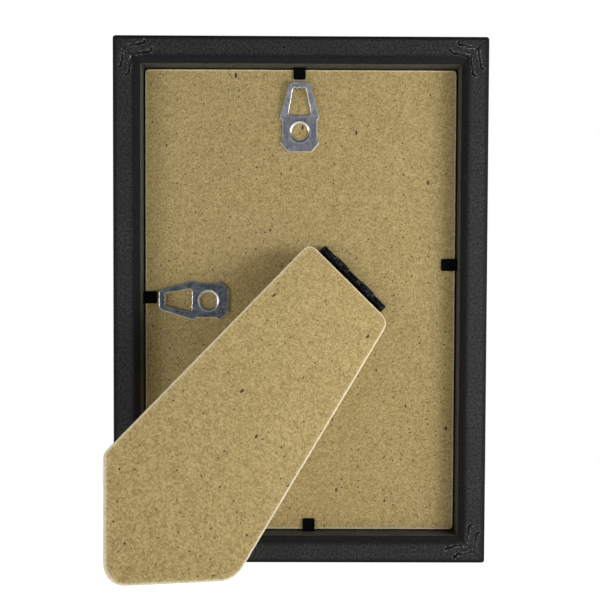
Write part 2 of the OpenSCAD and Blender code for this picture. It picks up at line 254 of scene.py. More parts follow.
def moulding_wrap():
    """Matt black foil over wood: fine leathery grain with pale specks painted as glints, painted shade
    towards its rounded edges and in the nail cuts and mitre seam, and painted highlights on the raised lips
    of the cuts.
    """
    s = Shader("moulding_wrap")
    s.set(Specular_IOR_Level=0.12)
    place = s.coords()
    grain = s.noise(place, 0.75, 4.0, 0.75)
    pores = s.noise(place, 0.8, 2.0, 0.5)
    cloudy = s.noise(place, 14.0, 3.0, 0.5)
    edge = s.add("ShaderNodeAttribute", attribute_name="edge").outputs["Fac"]
    cut_shade_glint = s.add("ShaderNodeAttribute", attribute_name="cut_shade_glint").outputs["Fac"]
    body = s.mix(s.ramp(grain, 0.36, 0.68), (0.006, 0.006, 0.0062), (0.062, 0.062, 0.063))
    body = s.mix(s.ramp(cloudy, 0.4, 0.65, 0.0, 0.4), body, (0.02, 0.02, 0.0205))
    # Painted highlight: scattered pale specks as glints on the grain.
    glint_specks = s.specks(place, 3.0, 0.14, 0.6, 5)
    body = s.mix(s.math("MULTIPLY", glint_specks, 0.45), body, (0.14, 0.14, 0.14))
    # Painted shade: the wrap darker towards its rounded edges, from the edge attribute.
    body = s.mix(s.math("MULTIPLY", edge, 0.85), body, (0.003, 0.003, 0.0032))
    patchy = s.ramp(s.noise(place, 0.35, 3.0, 0.7), 0.5, 0.62)
    # Painted highlight: pale grey on the raised lips of the nail cuts, in patches.
    lip_glint = s.math("MULTIPLY", s.ramp(cut_shade_glint, 0.05, 0.6), patchy, clamp=True)
    body = s.mix(lip_glint, body, (0.6, 0.6, 0.6))
    # Painted shade: near black in the nail cuts and the mitre seam.
    s.colour(s.mix(s.math("MULTIPLY", cut_shade_glint, -1.6, clamp=True), body, (0.0015, 0.0015, 0.0015)))
    s.roughness(s.ramp(grain, 0.3, 0.75, 0.5, 0.66))
    relief = s.math("ADD", grain, s.math("MULTIPLY", pores, 0.6))
    s.bump(relief, 0.08, 0.8)
    return s.material


def dull_edge():
    """The wrap where it is pulled round an edge: flat black, thin, with rubbed spots."""
    s = Shader("moulding_edge")
    s.set(Specular_IOR_Level=0.06)
    place = s.coords()
    grain = s.noise(place, 0.35, 3.0, 0.65)
    rubbed = s.ramp(s.noise(place, 2.2, 4.0, 0.7), 0.6, 0.78)
    body = s.mix(s.ramp(grain, 0.35, 0.68), (0.008, 0.008, 0.0087), (0.022, 0.022, 0.0228))
    s.colour(s.mix(s.math("MULTIPLY", rubbed, 0.5), body, (0.05, 0.049, 0.047)))
    s.roughness(s.ramp(grain, 0.3, 0.7, 0.7, 0.85))
    s.bump(grain, 0.06, 0.7)
    return s.material


def rabbet_wood():
    """Bare fibreboard inside the rabbet, dusted with black where the wrap ends."""
    s = Shader("rabbet_wood")
    s.set(Specular_IOR_Level=0.2)
    place = s.coords()
    grain = s.noise(place, 0.4, 3.0, 0.7)
    runs = s.noise(s.coords((0.15, 0.15, 1.0)), 0.6, 3.0, 0.6)
    wood = s.mix(s.ramp(grain, 0.35, 0.7), (0.045, 0.042, 0.03), (0.115, 0.11, 0.088))
    s.colour(s.mix(s.ramp(runs, 0.5, 0.7, 0.0, 0.7), wood, (0.02, 0.019, 0.016)))
    s.roughness(s.ramp(grain, 0.3, 0.7, 0.8, 0.92))
    s.bump(grain, 0.08, 0.7)
    return s.material


def hardboard(name, light_level):
    """Pressed wood fibre: mottled tan with dark specks and hairs, paler where it is cut."""
    s = Shader(name)
    s.set(Specular_IOR_Level=0.12)
    place = s.coords()
    wander = s.add("ShaderNodeVectorMath", operation="ADD")
    drift = s.add("ShaderNodeTexNoise")
    drift.inputs["Scale"].default_value = 1.6
    drift.inputs["Detail"].default_value = 3.0
    s.link(place, drift.inputs["Vector"])
    shift = s.add("ShaderNodeVectorMath", operation="SCALE")
    shift.inputs["Scale"].default_value = 0.34
    s.link(drift.outputs["Color"], shift.inputs[0])
    s.link(place, wander.inputs[0])
    s.link(shift.outputs[0], wander.inputs[1])
    loose = wander.outputs[0]

    patches = s.noise(place, 15.0, 3.0, 0.55)
    clouds = s.noise(place, 2.6, 4.0, 0.6, 0.6)
    grain = s.noise(place, 0.6, 4.0, 0.75)
    fibres = [
        s.noise(s.coords((2.2, 0.28, 1.0), (0, 0, angle)), 0.9, 3.0, 0.6, 0.5)
        for angle in (18, 75, 130)
    ]
    strands = s.math("MAXIMUM", s.math("MAXIMUM", fibres[0], fibres[1]), fibres[2])

    tan = s.mix(s.ramp(clouds, 0.35, 0.68), (0.38, 0.285, 0.117), (0.46, 0.353, 0.152))
    tan = s.mix(s.ramp(patches, 0.38, 0.66, 0.0, 0.5), tan, (0.38, 0.28, 0.11))
    tan = s.mix(s.ramp(grain, 0.48, 0.72, 0.0, 0.75), tan, (0.7, 0.56, 0.27))
    tan = s.mix(s.ramp(grain, 0.5, 0.3, 0.0, 0.85), tan, (0.18, 0.125, 0.045))
    tan = s.mix(s.ramp(strands, 0.62, 0.74, 0.0, 0.4), tan, (0.6, 0.48, 0.24))
    pepper = s.specks(loose, 1.2, 0.18, 0.65, 1)
    tan = s.mix(s.math("MULTIPLY", pepper, 0.8), tan, (0.12, 0.075, 0.028))
    dots = s.specks(loose, 2.9, 0.33, 0.8, 2)
    tan = s.mix(s.math("MULTIPLY", dots, 0.92), tan, (0.035, 0.02, 0.008))
    long_place = s.add("ShaderNodeMapping")
    long_place.inputs["Scale"].default_value = (1.0, 0.45, 1.0)
    long_place.inputs["Rotation"].default_value = (0, 0, math.radians(62))
    s.link(loose, long_place.inputs["Vector"])
    shards = s.specks(long_place.outputs[0], 9.0, 0.5, 0.55, 3)
    tan = s.mix(s.math("MULTIPLY", shards, 0.92), tan, (0.03, 0.017, 0.007))
    pale = s.specks(loose, 5.2, 0.3, 0.5, 4)
    tan = s.mix(s.math("MULTIPLY", pale, 0.5), tan, (0.66, 0.54, 0.3))

    # Painted light: the whole sheet multiplied lighter or darker, the leg's copy lighter where it faces the
    # lamps, the back board's darker.
    tan = s.mix(1.0, tan, (light_level, light_level, light_level), "MULTIPLY")

    edge = s.add("ShaderNodeAttribute", attribute_name="edge").outputs["Fac"]
    cut = s.mix(s.ramp(grain, 0.35, 0.7), (0.7, 0.6, 0.36), (0.95, 0.88, 0.66))
    s.colour(s.mix(s.math("MULTIPLY", edge, 0.92), tan, cut))
    s.roughness(s.ramp(clouds, 0.3, 0.7, 0.72, 0.86))
    relief = s.math("ADD", grain, s.math("MULTIPLY", strands, 0.8))
    relief = s.math("SUBTRACT", relief, s.math("MULTIPLY", dots, 0.6))
    s.bump(relief, 0.06, 0.5)
    return s.material


def zinc_steel(name, dull, light):
    """Zinc plating: faint spangle, rolling marks along the sheet and edges painted brighter as a highlight.
    """
    s = Shader(name)
    s.set(Metallic=1.0)
    place = s.coords()
    spangle = s.add("ShaderNodeTexVoronoi")
    spangle.inputs["Scale"].default_value = 0.9
    s.link(place, spangle.inputs["Vector"])
    flake = s.add("ShaderNodeSeparateColor")
    s.link(spangle.outputs["Color"], flake.inputs[0])
    marks = s.noise(place, 0.3, 4.0, 0.7)
    rolled = s.noise(s.coords((2.6, 0.3, 1)), 1.0, 4.0, 0.7)
    metal = s.mix(flake.outputs[0], dull, light)
    metal = s.mix(s.ramp(marks, 0.45, 0.75, 0.0, 0.7), metal, tuple(0.55 * c for c in dull))
    metal = s.mix(s.ramp(rolled, 0.5, 0.75, 0.0, 0.6), metal, tuple(min(1.0, 1.25 * c) for c in light))
    stain = s.specks(place, 2.4, 0.45, 0.5, 6)
    metal = s.mix(s.math("MULTIPLY", stain, 0.45), metal, (0.3, 0.23, 0.2))
    # Painted highlight: the sheet's rounded edges and the collar's lip brighter.
    edge = s.add("ShaderNodeAttribute", attribute_name="edge").outputs["Fac"]
    s.colour(s.mix(s.math("MULTIPLY", edge, 0.85), metal, (0.86, 0.86, 0.84)))
    s.roughness(s.math("ADD", s.ramp(marks, 0.3, 0.7, 0.32, 0.5), s.math("MULTIPLY", edge, -0.12)))
    s.bump(s.math("ADD", marks, rolled), 0.03, 0.6)
    return s.material


def lacquer(name, low, high, rough_low, rough_high, grain_size, shine, attribute):
    """Black lacquer on steel: faintly uneven, and thinner and greyer where edges rub."""
    s = Shader(name)
    s.set(Specular_IOR_Level=shine)
    place = s.coords(attribute=attribute)
    grain = s.noise(place, grain_size, 3.0, 0.6)
    body = s.mix(s.ramp(grain, 0.35, 0.7), low, high)
    if attribute:
        edge = s.add("ShaderNodeAttribute", attribute_name="edge").outputs["Fac"]
        chips = s.ramp(s.noise(place, 0.9, 4.0, 0.7), 0.5, 0.64)
        body = s.mix(s.math("MULTIPLY", edge, chips, clamp=True), body, (0.1, 0.1, 0.11))
    s.colour(body)
    s.roughness(s.ramp(s.noise(place, 3 * grain_size, 2.0), 0.35, 0.65, rough_low, rough_high))
    s.bump(grain, 0.03, 0.4)
    return s.material


def bare_steel(name, low, high, rough):
    s = Shader(name)
    s.set(Metallic=1.0)
    place = s.coords(attribute=None)
    marks = s.noise(place, 0.35, 4.0, 0.7)
    s.colour(s.mix(s.ramp(marks, 0.35, 0.7), low, high))
    s.roughness(s.ramp(marks, 0.3, 0.7, rough, rough + 0.15))
    s.bump(marks, 0.02, 0.4)
    return s.material


def window_glass():
    """Clear pane: straight through, with a mirror that grows at grazing angles and faint smears."""
    s = Shader("window_glass")
    s.tree.nodes.remove(s.surface)
    place = s.coords(attribute=None)
    clear = s.add("ShaderNodeBsdfTransparent")
    clear.inputs[0].default_value = (0.97, 0.99, 0.985, 1)
    mirror = s.add("ShaderNodeBsdfGlossy")
    smears = s.ramp(s.noise(place, 9.0, 3.0, 0.6), 0.4, 0.7, 0.02, 0.07)
    s.link(smears, mirror.inputs["Roughness"])
    fresnel = s.add("ShaderNodeFresnel")
    fresnel.inputs["IOR"].default_value = 1.5
    both = s.add("ShaderNodeMixShader")
    s.link(fresnel.outputs[0], both.inputs[0])
    s.link(clear.outputs[0], both.inputs[1])
    s.link(mirror.outputs[0], both.inputs[2])
    s.link(both.outputs[0], s.output.inputs[0])
    return s.material


def printed_card():
    """Placeholder print: a soft sky over two plain hills, inside a white border."""
    s = Shader("printed_card")
    s.set(Specular_IOR_Level=0.4)
    low, high = (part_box("picture_insert")[i] / MM for i in (0, 1))
    place = s.coords(attribute=None)
    parts = s.add("ShaderNodeSeparateXYZ")
    s.link(place, parts.inputs[0])
    across, height = parts.outputs[0], parts.outputs[2]
    tall = high.z - low.z
    level = s.ramp(height, low.z, high.z)
    sky = s.mix(s.ramp(level, 0.35, 0.95), (0.78, 0.66, 0.5), (0.28, 0.42, 0.55))
    line = s.add("ShaderNodeCombineXYZ")
    s.link(across, line.inputs[0])
    far = s.ramp(s.noise(line.outputs[0], 46.0, 1.0), 0.3, 0.7, 0.38, 0.58)
    near = s.ramp(s.noise(line.outputs[0], 30.0, 2.0, 0.4), 0.3, 0.7, 0.16, 0.36)
    under_far = s.math("MULTIPLY", s.math("SUBTRACT", far, level), tall, clamp=True)
    picture = s.mix(under_far, sky, (0.2, 0.32, 0.33))
    under_near = s.math("MULTIPLY", s.math("SUBTRACT", near, level), tall, clamp=True)
    picture = s.mix(under_near, picture, (0.1, 0.17, 0.12))
    ink = s.noise(place, 0.5, 3.0, 0.7)
    picture = s.mix(s.ramp(ink, 0.35, 0.75, 0.0, 0.15), picture, (0.9, 0.9, 0.88))
    border = 7.0
    inner_x = s.ramp(s.math("ABSOLUTE", across), high.x - border, high.x - border + 0.2)
    middle_z = (high.z + low.z) / 2
    from_middle = s.math("ABSOLUTE", s.math("SUBTRACT", height, middle_z))
    inner_z = s.ramp(from_middle, tall / 2 - border, tall / 2 - border + 0.2)
    s.colour(s.mix(s.math("MAXIMUM", inner_x, inner_z), picture, (0.82, 0.81, 0.78)))
    s.roughness(s.ramp(ink, 0.3, 0.7, 0.32, 0.42))
    s.bump(ink, 0.01, 0.3)
    return s.material


WRAP = moulding_wrap()
DULL_EDGE = dull_edge()
RABBET_WOOD = rabbet_wood()
# One hardboard in two copies: darker on the back board as painted shade, lighter on the leg as painted
# light.
BACK_PAINTED_SHADE = 0.93
LEG_PAINTED_LIGHT = 1.09
BOARD = hardboard("hardboard", BACK_PAINTED_SHADE)
LEG_BOARD = hardboard("hardboard_leg", LEG_PAINTED_LIGHT)
ZINC = zinc_steel("zinc_steel", (0.25, 0.26, 0.305), (0.46, 0.465, 0.52))
# The side hanger's darker copy of the zinc: painted shade, where the leg shades it.
ZINC_PAINTED_SHADE = zinc_steel("zinc_steel_painted_shade", (0.06, 0.075, 0.085), (0.165, 0.19, 0.21))
GLASS = window_glass()
PRINT = printed_card()
TAB_BLACK = lacquer(
    "tab_black", (0.001, 0.001, 0.001), (0.003, 0.003, 0.0032), 0.55, 0.7, 0.4, 0.04, None
)
HINGE_BLACK = lacquer(
    "hinge_black", (0.001, 0.0011, 0.0014), (0.003, 0.0033, 0.0045), 0.2, 0.34, 0.6, 0.14, "local"
)
PIN_STEEL = bare_steel("pin_steel", (0.05, 0.05, 0.055), (0.1, 0.1, 0.11), 0.35)
NAIL_STEEL = bare_steel("nail_steel", (0.05, 0.05, 0.055), (0.12, 0.12, 0.13), 0.45)

# ---------------------------------------------------------------- making pieces


def shade(mesh, angle):
    """Smooth shading, sharp where faces meet at more than an angle in degrees."""
    mesh.shade_smooth()
    mesh.set_sharp_from_angle(angle=math.radians(angle))


def make_piece(name, mesh, place, material, body, slot, *replaced, angle=50):
    local = mesh.attributes.new("local", "FLOAT_VECTOR", "POINT")
    for i, vertex in enumerate(mesh.vertices):
        local.data[i].vector = vertex.co
    mesh.transform(place)
    for each in material if isinstance(material, tuple) else (material,):
        mesh.materials.append(each)
    shade(mesh, angle)
    piece = bpy.data.objects.new(name, mesh)
    bpy.context.scene.collection.objects.link(piece)
    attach(piece, body)
    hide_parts(*replaced)
    return piece


def to_mesh(name, bm):
    """Turns a bmesh into a mesh with its normals outward and its float layers kept."""
    bmesh.ops.recalc_face_normals(bm, faces=bm.faces[:])
    mesh = bpy.data.meshes.new(name)
    bm.to_mesh(mesh)
    bm.free()
    return mesh


def resampled(loop, spacing):
    """Points along a closed outline at an even spacing, its corners kept to within that."""
    lengths = [(b - a).length for a, b in zip(loop, loop[1:] + loop[:1])]
    count = max(8, round(sum(lengths) / spacing))
    step = sum(lengths) / count
    points = []
    passed = 0.0
    wanted = 0.0
    for a, b, length in zip(loop, loop[1:] + loop[:1], lengths):
        while wanted < passed + length - 1e-9:
            points.append(a.lerp(b, (wanted - passed) / length))
            wanted += step
        passed += length
    return points[:count]


def softened(loop, passes):
    """Rounds the corners of a closed outline of even steps."""
    for _ in range(passes):
        ahead = loop[1:] + loop[:1]
        behind = loop[-1:] + loop[:-1]
        loop = [(a + b) / 4 + p / 2 for a, p, b in zip(behind, loop, ahead)]
    return loop


# ---------------------------------------------------------------- moulding

WRAP_SLOT, EDGE_SLOT, RABBET_SLOT = range(3)
ROW_STEP = 0.18
SLOPE_W = 1.8
CORNER_ZONE = 13.0
MIDDLE_STEP = 4.0
PLAN_CORNER_R = 1.0
NAIL_AT = (4.0, 6.5)
NAIL_SEED = 11
NAIL_WING = 6.2
NAIL_FLARE = math.radians(11)
NAIL_LIP = 0.9
NAIL_LIP_TURN = math.radians(50)
BACK_W = FRAME_W / 2 - RABBET_X
CUT_HALF = 0.34
CUT_DEPTH = 0.44
LIP_HEIGHT = 0.1


def cut_loop(name, at_y):
    """Outline, across X and Z, of a node cut at a local height."""
    bm = bmesh.new()
    bm.from_mesh(NODES[name].data)
    bm.transform(PLACE.inverted())
    bmesh.ops.remove_doubles(bm, verts=bm.verts[:], dist=1e-4)
    everything = bm.verts[:] + bm.edges[:] + bm.faces[:]
    cut = bmesh.ops.bisect_plane(
        bm, geom=everything, plane_co=(0, at_y, 0), plane_no=(0, 1, 0), clear_outer=True, clear_inner=True
    )
    edges = [g for g in cut["geom_cut"] if isinstance(g, bmesh.types.BMEdge)]
    bm.edges.index_update()
    left = {e.index: e for e in edges}
    first = edges[0]
    del left[first.index]
    loop = [first.verts[0], first.verts[1]]
    while left:
        follow = next((e for e in left.values() if loop[-1] in e.verts), None)
        if follow is None:
            break
        del left[follow.index]
        loop.append(follow.other_vert(loop[-1]))
    points = [Vector((v.co.x, v.co.z)) for v in loop[:-1]]
    bm.free()
    return points


def moulding_profile():
    """Moulding section as (distance in from the outer edge, height), its edges eased."""
    loop = [Vector((p.x + FRAME_W / 2, p.y)) for p in cut_loop("rail_left", FRAME_H / 4)]
    loop = softened(resampled(loop, ROW_STEP), 5)
    kept = []
    for i, point in enumerate(loop):
        before = loop[i - 5]
        after = loop[(i + 5) % len(loop)]
        bend = 1 - (point - before).normalized().dot((after - point).normalized())
        deep = point.y < -1.6
        if not deep or bend > 0.01 or not kept or (point - kept[-1]).length > 1.2:
            kept.append(point)
    return kept


def corner_columns():
    """Distances from the mitre at which the moulding has a column, then shares of its middle."""
    count = round(CORNER_ZONE / ROW_STEP)
    return [CORNER_ZONE * i / count for i in range(count + 1)]


def round_plan_corner(x, y):
    """Pulls a point of the plan in, so that the frame's outer corners are round."""
    a = PLAN_CORNER_R - (FRAME_W / 2 - abs(x))
    b = PLAN_CORNER_R - (FRAME_H / 2 - abs(y))
    if a <= 0 or b <= 0:
        return x, y
    pull = max(a, b) / math.hypot(a, b)
    x = math.copysign(FRAME_W / 2 - PLAN_CORNER_R + a * pull, x)
    y = math.copysign(FRAME_H / 2 - PLAN_CORNER_R + b * pull, y)
    return x, y


def nail_path(distance):
    """One wing of a V-nail: from the mitre, along the rail and round its lip, as (a, b)."""
    start = Vector((distance, distance))
    end = start + NAIL_WING * Vector((math.cos(NAIL_FLARE), -math.sin(NAIL_FLARE)))
    turn = NAIL_FLARE + NAIL_LIP_TURN
    lip = end + NAIL_LIP * Vector((math.cos(turn), -math.sin(turn)))
    return [start, end, lip]


NAIL_PATHS = [nail_path(distance) for distance in NAIL_AT]
# noise_vector is offset by the clock unless it is seeded
noise.seed_set(NAIL_SEED)


def distance_to_path(point, path):
    """Distance to a bent line, and how far along it the nearest point is."""
    best = (1e9, 0.0)
    passed = 0.0
    for a, b in zip(path, path[1:]):
        line = b - a
        share = max(0.0, min(1.0, (point - a).dot(line) / line.length_squared))
        best = min(best, ((point - a - line * share).length, passed + share * line.length))
        passed += line.length
    return best


def nail_relief(x, y):
    """Height added to the back face by the nail cuts at a place: (height, painted light value), below zero
    painted shade in the cuts and the mitre seam, above zero a painted highlight on the cut lips.
    """
    side = 1 if x > 0 else -1
    level = 1 if y > 0 else -1
    a = FRAME_W / 2 - abs(x)
    b = FRAME_H / 2 - abs(y)
    along, inward = (a, b) if a > b else (b, a)
    seed = Vector((5.1 * side, 3.7 * level, 2.3 if a > b else 0.0))
    wobble = noise.noise_vector(Vector((x, y, 0)) * 0.7 + seed) * 0.4
    point = Vector((along + wobble.x, inward + wobble.y))
    height = 0.0
    cut_shade_glint = 0.0
    for path in NAIL_PATHS:
        distance, passed = distance_to_path(point, path)
        patchy = 0.5 + 0.5 * noise.noise(Vector((x, y, 7)) * 1.7 + seed)
        if distance < CUT_HALF:
            share = 1 - (distance / CUT_HALF) ** 2
            height = min(height, -CUT_DEPTH * share * (0.55 + 0.45 * patchy))
            cut_shade_glint = min(cut_shade_glint, -share)
        elif distance < 3 * CUT_HALF:
            share = 1 - (distance - CUT_HALF) / (2 * CUT_HALF)
            rise = share * share * max(0.0, 2.2 * patchy - 0.7)
            height = max(height, LIP_HEIGHT * rise) if height >= 0 else height
            cut_shade_glint = max(cut_shade_glint, rise) if cut_shade_glint >= 0 else cut_shade_glint
    seam = abs(a - b) / math.sqrt(2) + 0.12 * noise.noise(Vector((x, y, 3)) * 1.3)
    if abs(seam) < 0.2 and min(a, b) > 1.0:
        depth = (1 - abs(seam) / 0.2) * (0.5 + 0.5 * noise.noise(Vector((x, y, 11)) * 0.8))
        height = min(height, -0.22 * depth)
        cut_shade_glint = min(cut_shade_glint, -depth)
    pucker = noise.noise(Vector((x, y, 19)) * 1.1) * max(0.0, 1 - abs(along - inward) / 7)
    return height + 0.035 * pucker, cut_shade_glint


def rail_point(name, along, inward):
    """Plan place of a point of a rail, from its place along it and its distance inward."""
    if name in ("rail_top", "rail_bottom"):
        y = FRAME_H / 2 - inward
        return along, y if name == "rail_top" else -y
    x = FRAME_W / 2 - inward
    return (x if name == "rail_right" else -x), along


def rail_material(inward, z):
    """Which of the rail's materials covers a place of its section."""
    if inward > BACK_W - 0.4 and RABBET_Z - 0.3 < z < -1.15:
        return RABBET_SLOT
    on_slope = inward > BACK_W - SLOPE_W and z > -1.3
    return EDGE_SLOT if on_slope or (inward < 0.9 and z > -1.3) else WRAP_SLOT


def edge_painted_shade(inward):
    """How much the wrap is painted darker on its way to the dull edges: painted shade where the rounded
    edges turn away from the light.
    """
    to_rabbet = 1 - (BACK_W - SLOPE_W - inward) / 1.4
    to_outside = 1 - (inward - 0.9) / 0.9
    return max(0.0, min(1.0, max(to_rabbet, to_outside)))


def make_rail(name, profile):
    """A mitred rail with rounded outer corners and the nail cuts in its back."""
    half = (FRAME_W if name in ("rail_top", "rail_bottom") else FRAME_H) / 2
    zone = corner_columns()
    middle = max(2, round((2 * half - 2 * CORNER_ZONE) / MIDDLE_STEP))
    bm = bmesh.new()
    edge_layer = bm.verts.layers.float.new("edge")
    # Painted light of the nail cuts: shade in the grooves, highlights on their lips.
    cut_shade_glint_layer = bm.verts.layers.float.new("cut_shade_glint")
    columns = []
    for inward, z in profile:
        end = half - inward
        # The edge attribute of a rail carries painted shade towards the rounded edges.
        dark = edge_painted_shade(inward) if z > -1.3 else 0.0
        places = [-end + e for e in zone]
        inner = end - CORNER_ZONE
        places += [inner * (2 * i / middle - 1) for i in range(1, middle)]
        places += [end - e for e in reversed(zone)]
        ring = []
        for along in places:
            x, y = round_plan_corner(*rail_point(name, along, inward))
            height, cut_shade_glint = 0.0, 0.0
            if z > -0.75 and end - abs(along) < CORNER_ZONE - 0.5:
                fade = min(1.0, (z + 0.75) / 0.5)
                height, cut_shade_glint = nail_relief(x, y)
                height *= fade
                cut_shade_glint *= fade
            vertex = bm.verts.new((x, y, min(z + height, 0.06)))
            vertex[edge_layer] = dark
            vertex[cut_shade_glint_layer] = cut_shade_glint
            ring.append(vertex)
        columns.append(ring)
    strips = zip(columns, columns[1:] + columns[:1], profile, profile[1:] + profile[:1])
    for one, other, here, there in strips:
        material = rail_material(*here.lerp(there, 0.5))
        for i in range(len(one) - 1):
            face = bm.faces.new((one[i], one[i + 1], other[i + 1], other[i]))
            face.material_index = material
    bm.faces.new([ring[0] for ring in columns])
    bm.faces.new([ring[-1] for ring in reversed(columns)])
    mesh = to_mesh(name + "_wrap", bm)
    materials = (WRAP, DULL_EDGE, RABBET_WOOD)
    return make_piece("wrapped_" + name, mesh, PLACE, materials, "frame", "moulding_wrap", name, angle=40)


def make_moulding():
    profile = moulding_profile()
    for name in RAILS:
        make_rail(name, profile)


# ---------------------------------------------------------------- plates with eased edges


def outline_of(name, place):
    """Rounded outline of a convex panel, from its CAD node, anticlockwise."""
    inverse = place.inverted()
    points = [(inverse @ v.co).to_2d() for v in NODES[name].data.vertices]
    return [points[i].copy() for i in convex_hull_2d(points)]


def anticlockwise(loop):
    area = sum(a.cross(b) for a, b in zip(loop, loop[1:] + loop[:1]))
    return loop if area > 0 else loop[::-1]


def inset(loop, distance):
    """An outline moved to its left, which is inward for an anticlockwise one."""
    moved = []
    for behind, point, ahead in zip(loop[-1:] + loop[:-1], loop, loop[1:] + loop[:1]):
        along = (ahead - behind).normalized()
        moved.append(point + distance * Vector((-along.y, along.x)))
    return moved


def is_inside(point, loop):
    """Whether a point lies inside a closed outline, by counting crossings to its right."""
    crossings = 0
    for a, b in zip(loop, loop[1:] + loop[:1]):
        if (a.y > point.y) != (b.y > point.y):
            crossings += point.x < a.x + (point.y - a.y) * (b.x - a.x) / (b.y - a.y)
    return crossings % 2 == 1


def fill_face(bm, rings, spacing):
    """Fills a flat face between rings of vertices with well-shaped triangles."""
    ring_verts = [v for ring in rings for v in ring]
    z = ring_verts[0].co.z
    tree = kdtree.KDTree(len(ring_verts))
    for i, vertex in enumerate(ring_verts):
        tree.insert((vertex.co.x, vertex.co.y, 0), i)
    tree.balance()
    points = [v.co.to_2d() for v in ring_verts]
    low_x, high_x = min(p.x for p in points), max(p.x for p in points)
    low_y, high_y = min(p.y for p in points), max(p.y for p in points)
    rows = int((high_y - low_y) / spacing) + 1
    for row in range(rows):
        for column in range(int((high_x - low_x) / spacing) + 1):
            x = low_x + (column + 0.5 * (row % 2)) * spacing
            y = low_y + row * spacing
            if tree.find((x, y, 0))[2] > 0.6 * spacing:
                points.append(Vector((x, y)))
    edges = []
    start = 0
    for ring in rings:
        edges += [(start + i, start + (i + 1) % len(ring)) for i in range(len(ring))]
        start += len(ring)
    out_points, _, triangles, origins, _, _ = delaunay_2d_cdt(points, edges, [], 4, 1e-6)
    holes = [[v.co.to_2d() for v in ring] for ring in rings[1:]]
    made = {}
    for triangle in triangles:
        middle = sum((out_points[i] for i in triangle), Vector((0, 0))) / 3
        if any(is_inside(middle, hole) for hole in holes):
            continue
        corners = []
        for i in triangle:
            if i not in made:
                known = [k for k in origins[i] if k < len(ring_verts)]
                made[i] = ring_verts[known[0]] if known else bm.verts.new((*out_points[i], z))
            corners.append(made[i])
        if len(set(corners)) == 3 and not bm.faces.get(corners):
            bm.faces.new(corners)


def plate(loops, spacing):
    """Closed sheet. Each loop is an outline with its rows, round its edge from the upper face to
    the lower one: (distance to the left of the outline, height, paleness of the edge)."""
    bm = bmesh.new()
    edge_layer = bm.verts.layers.float.new("edge")
    tops = []
    bottoms = []
    for loop, rows in loops:
        rings = []
        for distance, z, pale in rows:
            ring = [bm.verts.new((p.x, p.y, z)) for p in inset(loop, distance)]
            for vertex in ring:
                vertex[edge_layer] = pale
            rings.append(ring)
        for one, other in zip(rings, rings[1:]):
            for i in range(len(one)):
                k = (i + 1) % len(one)
                bm.faces.new((one[i], one[k], other[k], other[i]))
        tops.append(rings[0])
        bottoms.append(rings[-1])
    fill_face(bm, tops, spacing)
    fill_face(bm, bottoms, spacing)
    return bm


def rim_rows(rim, low, high):
    """Rows round a plate's edge from a rim of (distance in, distance from the face, paleness)."""
    upper = [(i, high - d, pale) for i, d, pale in rim]
    return upper + [(i, low + d, pale) for i, d, pale in reversed(rim)]


# ---------------------------------------------------------------- hardboard

PANEL_STEP = 0.5
PANEL_FILL = 5.0
EDGE_WANDER = 0.05
BACK_RIM = (
    (1.4, 0, 0), (0.6, 0, 0.05), (0.4, 0.01, 0.6), (0.25, 0.03, 0.9), (0.1, 0.1, 0.9), (0.02, 0.25, 0.7)
)
LEG_RIM = ((1.6, 0, 0), (0.75, 0, 0.1), (0.5, 0.005, 0.7), (0.3, 0.03, 1), (0.12, 0.1, 1), (0.02, 0.28, 1))


def make_panel(name, node, place, rim, material, body):
    """A hardboard panel: slightly uneven sawn edges with an eased, paler rim."""
    low, high = depth_range(node, place)
    loop = anticlockwise(resampled(outline_of(node, place), PANEL_STEP))
    loop = softened(loop, 2)
    wander = [EDGE_WANDER * (1 + noise.noise(Vector((p.x, p.y, high)) * 0.8)) for p in loop]
    loop = [p.lerp(q, w) for p, q, w in zip(loop, inset(loop, 1.0), wander)]
    bm = plate([(loop, rim_rows(rim, low, high))], PANEL_FILL)
    mesh = to_mesh(name, bm)
    return make_piece(name, mesh, place, material, body, "hardboard", node, angle=60)


def depth_range(node, place):
    """Lowest and highest local Z of a node."""
    inverse = place.inverted()
    heights = [(inverse @ v.co).z for v in NODES[node].data.vertices]
    return min(heights), max(heights)


def make_hardboard():
    make_panel("hardboard_back", "backboard", PLACE, BACK_RIM, BOARD, "frame")
    make_panel("hardboard_leg", "easel_leg", LEG_PLACE, LEG_RIM, LEG_BOARD, "leg")


# ---------------------------------------------------------------- hangers

HANGER_T = 0.7
HANGER_STEP = 0.2
# Right half of the outline, from the bottom edge up, with the collar's centre at the origin
HANGER_HALF = (
    (3.95, -6.7), (6.45, -3.8), (6.45, -3.3), (5.8, -2.9), (5.8, 4.1), (6.45, 4.3), (6.45, 5.6),
    (3.45, 15.7), (2.65, 16.5),
)
# Right half of the loop's opening, up to its narrow end, where the teeth are
OPENING_HALF = ((3.1, 5.6), (3.75, 6.2), (2.2, 14.1))
TEETH = 3
TOOTH_DEPTH = 0.65
BEND_Y = 4.9
LOOP_BEND = math.radians(6)
COLLAR_R = 2.6
COLLAR_WALL = 0.55
COLLAR_LIP_R = 0.9
COLLAR_DEPTH = 1.8
COLLAR_BEAD = 0.05
# Its third column, the paleness, is a painted highlight on the hanger's rounded edges.
SHEET_RIM = ((0.5, 0, 0), (0.22, 0, 0.15), (0.1, 0.015, 1), (0.03, 0.06, 1), (0, 0.14, 0.8))


def mirrored(half):
    return [Vector(p) for p in half] + [Vector((-x, y)) for x, y in reversed(half)]


